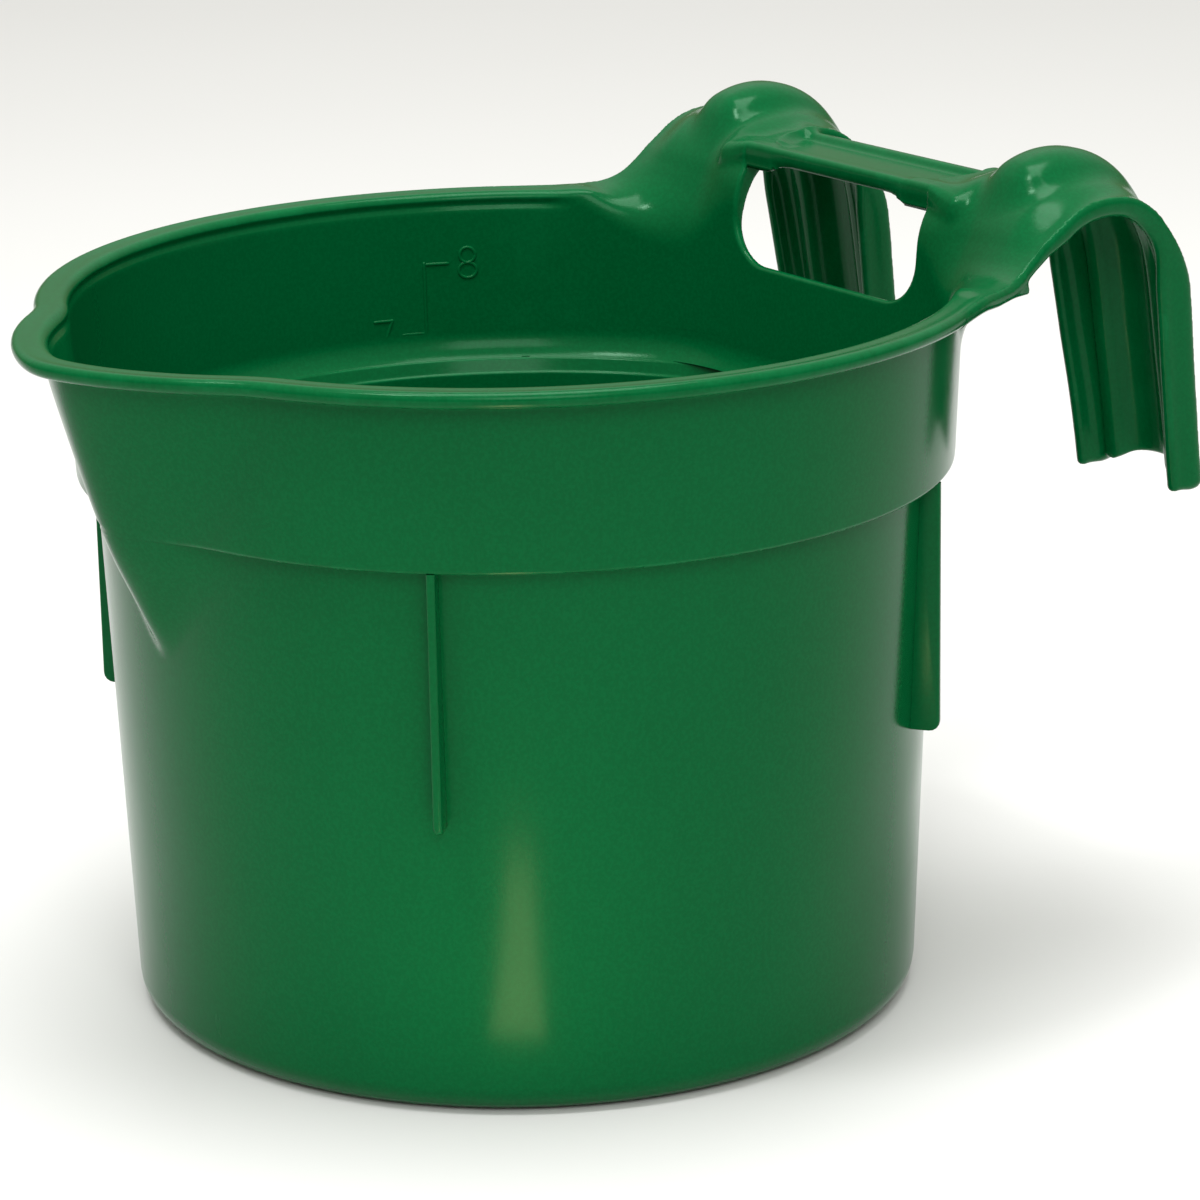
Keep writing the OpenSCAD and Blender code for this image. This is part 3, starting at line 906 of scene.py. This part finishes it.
def handle_pieces():
    """Back panel, grip bar and the two hooks, cut from one surface and closed at the cuts."""
    f, origin, h = sample_field()
    verts, quads = surface_nets(f, origin, h)
    verts = settle(whole_field_safe, verts)
    bm = bmesh.new()
    me = bpy.data.meshes.new("nets")
    me.from_pydata((verts * MM).tolist(), [], quads.tolist())
    bm.from_mesh(me)
    bpy.data.meshes.remove(me)
    bmesh.ops.remove_doubles(bm, verts=bm.verts, dist=2e-6)
    low = ((0, 0, BACK_CUT_Z * MM), (0, 0, 1))
    a = math.radians(BACK_CUT)
    right = ((0, 0, 0), (math.cos(a), math.sin(a), 0))
    left = ((0, 0, 0), (-math.cos(a), math.sin(a), 0))
    cut_plane(bm, *low, lambda c: c.y < 0.140 and c.z < 0.175, True)
    cut_plane(bm, *right, lambda c: c.x > 0.090 and c.y < 0.095, True)
    cut_plane(bm, *left, lambda c: c.x < -0.090 and c.y < 0.095, True)
    hook = ((0, HOOK_CUT_Y * MM, 0), (0, 1, 0))
    bars = [((s * BAR_CUT_X * MM, 0, 0), (s, 0, 0)) for s in (-1, 1)]
    cut_plane(bm, *hook, lambda c: abs(c.y - HOOK_CUT_Y * MM) < NEAR_CUT and c.z > 0.180)

    def bar_end(c):
        near = abs(abs(c.x) - BAR_CUT_X * MM) < NEAR_CUT
        return near and c.y > HOOK_CUT_Y * MM and c.z > BAR_LOW * MM

    for b in bars:
        cut_plane(bm, *b, bar_end)

    def name_of(c):
        x, y, z = c.x / MM, c.y / MM, c.z / MM
        if y < HOOK_CUT_Y:
            return "back_panel"
        if abs(x) < BAR_CUT_X and z > BAR_LOW:
            return "grip_bar"
        return "hook_right" if x > 0 else "hook_left"

    groups = {}
    for face in bm.faces:
        groups.setdefault(name_of(face.calc_center_median()), []).append(face)
    made = {}
    for name, faces in groups.items():
        part = bmesh.new()
        index = {}
        for face in faces:
            for v in face.verts:
                if v not in index:
                    index[v] = part.verts.new(v.co)
        for face in faces:
            part.faces.new([index[v] for v in face.verts])
        if name == "back_panel":
            for side in (right, left):
                corner_edge(part, low, side)
            for plane in (low, right, left):
                cap_plane(part, *plane)
        if name != "grip_bar":
            cap_plane(part, *hook)
        if name != "back_panel":
            for b in bars:
                cap_plane(part, *b)
        bmesh.ops.recalc_face_normals(part, faces=part.faces)
        me = bpy.data.meshes.new(name)
        part.to_mesh(me)
        part.free()
        ob = place_object(name, me)
        shade_smooth(me)
        co = np.zeros(len(me.vertices) * 3)
        me.vertices.foreach_get("co", co)
        nor = gradient(whole_field, co.reshape(-1, 3) / MM, 0.22)
        me.normals_split_custom_set_from_vertices(unit(nor).tolist())
        add_edge_mask(me, field_bend(co.reshape(-1, 3) / MM))
        made[name] = ob
    bm.free()
    return made


def whole_field_safe(x, y, z):
    """The field, with the parts below the cut planes left alone."""
    return np.where((z < BACK_CUT_Z - 1.0) & (y < 140.0), 0.0, whole_field(x, y, z))


made = handle_pieces()
PIECES["back_panel"] = (made["back_panel"], ["back_wall", "hook_root_left", "hook_root_right"])
PIECES["grip_bar"] = (made["grip_bar"], ["grip_bar"])
for side in ("left", "right"):
    PIECES["hook_" + side] = (
        made["hook_" + side],
        ["hook_inner_strap_" + side, "hook_outer_strap_" + side, "hook_crown_" + side],
    )

# ---------------------------------------------------------------- stacking ribs

RIB_LOW, RIB_HALF, RIB_OUT, RIB_NOSE = 83.5, 1.2, 124.2, 3


def rib(name, deg):
    """A thin fin under the shoulder at an angle from -Y, with softened outer edges."""
    prof = [(low_r(RIB_LOW) - 1.0, RIB_LOW)]
    for q in np.radians([0, 22, 45, 68, 90]):
        r, z = RIB_OUT - RIB_NOSE, RIB_LOW + RIB_NOSE
        prof.append((r + RIB_NOSE * math.sin(q), z - RIB_NOSE * math.cos(q)))
    prof += [(RIB_OUT, SHOULDER_Z + 0.1), (low_r(SHOULDER_Z) - 0.5, SHOULDER_Z + 0.1)]
    bm = bmesh.new()
    a = math.radians(deg)
    er, et = Vector((math.sin(a), -math.cos(a), 0)), Vector((math.cos(a), math.sin(a), 0))
    sides = [
        [bm.verts.new((er * r + et * (RIB_HALF * s) + Vector((0, 0, z))) * MM) for r, z in prof]
        for s in (-1, 1)
    ]
    bm.faces.new(sides[0])
    bm.faces.new(sides[1][::-1])
    n = len(prof)
    for i in range(n):
        k = (i + 1) % n
        bm.faces.new((sides[0][k], sides[0][i], sides[1][i], sides[1][k]))
    bmesh.ops.recalc_face_normals(bm, faces=bm.faces)
    skins = [set(side[:-1]) for side in sides]
    rim = [
        e for e in bm.edges
        if any(set(e.verts) <= skin for skin in skins)
        and min(v.co.xy.length for v in e.verts) > (low_r(RIB_LOW) - 1.5) * MM
    ]
    bmesh.ops.bevel(bm, geom=rim, offset=0.75 * MM, segments=4, profile=0.5, affect="EDGES")
    me = bpy.data.meshes.new(name)
    bm.to_mesh(me)
    bm.free()
    ob = place_object(name, me)
    shade_smooth(me)
    me.set_sharp_from_angle(angle=math.radians(35))
    return ob


RIB_ANGLES = {"front_left": -45.0, "front_right": 45.0, "back_left": -126.0, "back_right": 126.0}
for name, deg in RIB_ANGLES.items():
    PIECES["rib_" + name] = (rib("rib_" + name, deg), ["rib_" + name])

# ---------------------------------------------------------------- level marks

STROKE = 0.6
MARK_ANGLE = math.radians(90.0 + 68.4)
MARK_HI, MARK_LO, FIGURE_H = 184.6, 163.3, 11.0
# a stroke's cross section as (across, proud of the wall)
RIDGE = [(-0.95, -0.5), (-0.86, 0.05), (-0.66, 0.24), (-0.36, 0.34), (0.0, 0.37)]
RIDGE += [(-w, h) for w, h in RIDGE[3::-1]]
FIGURE_U = 13.5


def on_wall(u, v, h):
    """A point u mm along the inside wall towards the hooks, at height v and h proud of it."""
    r = up_r(v) - WALL - h
    a = MARK_ANGLE - u / (up_r(v) - WALL)
    return (r * math.cos(a), r * math.sin(a), v)


def strokes(name, lines):
    """Raised ridges along polylines on the inside wall, each closed with round ends."""
    verts, faces = [], []
    for line in lines:
        p = np.array(line, float)
        d = unit(np.gradient(p, axis=0))
        ends = [(0.0, 0.02), (0.15, 0.5), (0.4, 0.8)]
        pre = [(p[0] - d[0] * STROKE * (1 - q), d[0], s) for q, s in ends]
        post = [(p[-1] + d[-1] * STROKE * (1 - q), d[-1], s) for q, s in ends[::-1]]
        rows = pre + [(p[i], d[i], 1.0) for i in range(len(p))] + post
        base = len(verts)
        m = len(RIDGE)
        for at, along, s in rows:
            across = np.array([-along[1], along[0]])
            for k, (w, h) in enumerate(RIDGE):
                q = at + across * w * STROKE * s
                verts.append(on_wall(q[0], q[1], h * (s if h > 0 else 1.0)))
        for i in range(len(rows) - 1):
            for k in range(m):
                a, b = base + i * m + k, base + i * m + (k + 1) % m
                faces.append((a, b, b + m, a + m))
        faces.append(tuple(base + k for k in range(m - 1, -1, -1)))
        faces.append(tuple(base + (len(rows) - 1) * m + k for k in range(m)))
    ob = make_mesh(name, verts, faces)
    bm = bmesh.new()
    bm.from_mesh(ob.data)
    bmesh.ops.recalc_face_normals(bm, faces=bm.faces)
    bm.to_mesh(ob.data)
    bm.free()
    shade_smooth(ob.data)
    return ob


def oval(cu, cv, ru, rv, n=34):
    turn = np.radians(np.linspace(0, 360, n))
    return [(cu + ru * math.cos(q), cv + rv * math.sin(q)) for q in turn]


def straight(a, b, n=8):
    return [tuple(np.array(a) * (1 - q) + np.array(b) * q) for q in np.linspace(0, 1, n)]


hh, wf = FIGURE_H / 2 - 0.8, FIGURE_H * 0.25
eight = [
    oval(FIGURE_U, MARK_HI + hh / 2, wf * 0.86, hh / 2),
    oval(FIGURE_U, MARK_HI - hh / 2, wf, hh / 2),
]
seven = [
    straight((-FIGURE_U - wf, MARK_LO + hh), (-FIGURE_U + wf, MARK_LO + hh)),
    straight((-FIGURE_U + wf, MARK_LO + hh), (-FIGURE_U - wf * 0.3, MARK_LO - hh), 12),
]
LEVEL_MARKS = {
    "level_line": [straight((0, 159.2), (0, MARK_HI + 0.4), 24)],
    "level_tick_upper": [straight((0.9, MARK_HI), (7.3, MARK_HI))],
    "level_tick_lower": [straight((-0.9, MARK_LO), (-7.3, MARK_LO))],
    "level_figure_upper": eight,
    "level_figure_lower": seven,
}
for name, lines in LEVEL_MARKS.items():
    PIECES[name] = (strokes(name, lines), [name])

# ---------------------------------------------------------------- material


def green_plastic():
    """Moulded plastic with tone drift, grain, scuffs in its gloss and rubbed edges."""
    mat = bpy.data.materials.new("green_plastic")
    mat.use_nodes = True
    nt = mat.node_tree
    nt.nodes.clear()
    new = nt.nodes.new
    link = nt.links.new
    out, bsdf = new("ShaderNodeOutputMaterial"), new("ShaderNodeBsdfPrincipled")
    link(bsdf.outputs[0], out.inputs[0])
    co = new("ShaderNodeTexCoord")

    def noise(scale, detail=3.0, rough=0.55, stretch=None):
        n = new("ShaderNodeTexNoise")
        n.inputs["Scale"].default_value = scale
        n.inputs["Detail"].default_value = detail
        n.inputs["Roughness"].default_value = rough
        src = co.outputs["Object"]
        if stretch:
            m = new("ShaderNodeMapping")
            m.inputs["Scale"].default_value = stretch
            link(src, m.inputs[0])
            src = m.outputs[0]
        link(src, n.inputs["Vector"])
        return n.outputs["Fac"]

    def remap(value, lo, hi, out_lo, out_hi):
        m = new("ShaderNodeMapRange")
        link(value, m.inputs["Value"])
        for key, v in (("From Min", lo), ("From Max", hi), ("To Min", out_lo), ("To Max", out_hi)):
            m.inputs[key].default_value = v
        return m.outputs["Result"]

    def math_node(op, a, b):
        m = new("ShaderNodeMath")
        m.operation = op
        for k, v in enumerate((a, b)):
            if isinstance(v, (int, float)):
                m.inputs[k].default_value = v
            else:
                link(v, m.inputs[k])
        return m.outputs[0]

    def mix(fac, a, b):
        m = new("ShaderNodeMix")
        m.data_type = "RGBA"
        if isinstance(fac, (int, float)):
            m.inputs[0].default_value = fac
        else:
            link(fac, m.inputs[0])
        for k, v in ((6, a), (7, b)):
            if isinstance(v, tuple):
                m.inputs[k].default_value = (*v, 1.0)
            else:
                link(v, m.inputs[k])
        return m.outputs[2]

    # slow tone drift of the pigment and faint flow streaks from moulding
    drift = remap(noise(7.0, 2.0), 0.3, 0.7, 0.0, 1.0)
    flow = remap(noise(9.0, 4.0, 0.6, (1.0, 1.0, 0.22)), 0.35, 0.65, 0.0, 1.0)
    fleck = remap(noise(900.0, 2.0, 0.6), 0.42, 0.62, 0.0, 1.0)
    base = mix(drift, (0.0002, 0.079, 0.020), (0.0003, 0.093, 0.025))
    base = mix(math_node("MULTIPLY", flow, 0.35), base, (0.0002, 0.072, 0.0175))
    base = mix(math_node("MULTIPLY", fleck, 0.10), base, (0.002, 0.19, 0.055))
    # rubbed edges are a touch lighter and duller
    edge = new("ShaderNodeAttribute")
    edge.attribute_name = "edge"
    worn = edge.outputs["Fac"]
    patch = remap(noise(60.0, 4.0, 0.65), 0.45, 0.62, 0.0, 1.0)
    wear = math_node("MULTIPLY", worn, patch)
    base = mix(math_node("MULTIPLY", wear, 0.25), base, (0.003, 0.19, 0.06))
    link(base, bsdf.inputs["Base Color"])
    rough = remap(noise(16.0, 4.0, 0.6), 0.3, 0.7, 0.15, 0.21)
    scuff = remap(noise(34.0, 5.0, 0.7, (1.0, 1.0, 0.35)), 0.58, 0.74, 0.0, 0.10)
    rough = math_node("ADD", rough, scuff)
    rough = math_node("ADD", rough, math_node("MULTIPLY", wear, 0.12))
    link(rough, bsdf.inputs["Roughness"])
    bsdf.inputs["IOR"].default_value = 1.36
    bsdf.inputs["Specular IOR Level"].default_value = 0.22
    bsdf.inputs["Specular Tint"].default_value = (0.55, 1.0, 0.70, 1.0)
    # fine moulded grain over a very soft waviness
    grain = noise(1500.0, 2.0, 0.5)
    wave = noise(22.0, 2.0, 0.5)
    b1 = new("ShaderNodeBump")
    b1.inputs["Strength"].default_value = 0.10
    b1.inputs["Distance"].default_value = 0.0002
    link(grain, b1.inputs["Height"])
    b2 = new("ShaderNodeBump")
    b2.inputs["Strength"].default_value = 0.10
    b2.inputs["Distance"].default_value = 0.002
    link(wave, b2.inputs["Height"])
    link(b1.outputs[0], b2.inputs["Normal"])
    link(b2.outputs[0], bsdf.inputs["Normal"])
    return mat


GREEN = green_plastic()
for ob, nodes in PIECES.values():
    ob.data.materials.clear()
    ob.data.materials.append(GREEN)
    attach(ob, "root")
    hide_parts(*nodes)

# ---------------------------------------------------------------- floor and light


def floor_material():
    mat = bpy.data.materials.new("pale_floor")
    mat.use_nodes = True
    nt = mat.node_tree
    bsdf = nt.nodes["Principled BSDF"]
    co, n = nt.nodes.new("ShaderNodeTexCoord"), nt.nodes.new("ShaderNodeTexNoise")
    n.inputs["Scale"].default_value = 3.0
    nt.links.new(co.outputs["Object"], n.inputs["Vector"])
    m = nt.nodes.new("ShaderNodeMapRange")
    m.inputs["To Min"].default_value = 0.55
    m.inputs["To Max"].default_value = 0.65
    nt.links.new(n.outputs["Fac"], m.inputs["Value"])
    nt.links.new(m.outputs["Result"], bsdf.inputs["Roughness"])
    bsdf.inputs["Base Color"].default_value = (0.72, 0.72, 0.71, 1.0)
    return mat


bm = bmesh.new()
bmesh.ops.create_grid(bm, x_segments=8, y_segments=8, size=12.0)
me = bpy.data.meshes.new("floor")
bm.to_mesh(me)
bm.free()
floor = place_object("floor", me)
floor.data.materials.append(floor_material())


def area_light(name, place, target, size, watts, colour=(1.0, 1.0, 1.0)):
    lamp = bpy.data.lights.new(name, "AREA")
    lamp.shape = "RECTANGLE"
    lamp.size, lamp.size_y = size
    lamp.energy = watts
    lamp.color = colour
    ob = place_object(name, lamp)
    ob.location = place
    ob.rotation_mode = "QUATERNION"
    ob.rotation_quaternion = (Vector(target) - Vector(place)).to_track_quat("-Z", "Y")
    return ob


def from_camera(right, toward, up):
    """A point right of, towards the camera from, and above the part's middle, in metres."""
    return tuple(to_object((right, -toward, up)))


area_light("key", from_camera(-0.6, 0.5, 1.9), (0, 0, 0.1), (0.26, 0.26), 9.0)
area_light("top", from_camera(0.05, 0.0, 1.9), (0, 0, 0.1), (1.0, 1.0), 27.0)
area_light("front", from_camera(0.15, 1.7, 1.35), (0, 0, 0.15), (0.9, 0.9), 14.0)
# a strip of light low in front, mirrored by the lower wall and out of the camera's sight
GLOW_COLOUR = (1.0, 0.62, 0.36)
glow_at = from_camera(-0.006, 0.215, 0.003)
glow = area_light("glow", glow_at, (0, 0, 1), (0.027, 0.12), 0.11, GLOW_COLOUR)
glow.visible_camera = False
toward = to_object((0.0, -1.0, 0.0))
down = Vector((0.0, 0.0, -1.0))
glow.rotation_quaternion = Matrix((toward.cross(down), toward, down)).transposed().to_quaternion()

bpy.context.scene.view_settings.view_transform = "Standard"

# surroundings: bright overhead, dim and warm towards the horizon
world = bpy.data.worlds.new("studio")
world.use_nodes = True
bpy.context.scene.world = world
sky = world.node_tree
background = sky.nodes["Background"]
background.inputs["Strength"].default_value = 1.0
place = sky.nodes.new("ShaderNodeTexCoord")
split = sky.nodes.new("ShaderNodeSeparateXYZ")
ramp = sky.nodes.new("ShaderNodeValToRGB")
ramp.color_ramp.elements[0].position = 0.10
ramp.color_ramp.elements[0].color = (0.20, 0.165, 0.11, 1.0)
ramp.color_ramp.elements[1].position = 0.62
ramp.color_ramp.elements[1].color = (0.95, 0.95, 0.92, 1.0)
sky.links.new(place.outputs["Generated"], split.inputs["Vector"])
sky.links.new(split.outputs["Z"], ramp.inputs["Fac"])
sky.links.new(ramp.outputs["Color"], background.inputs["Color"])
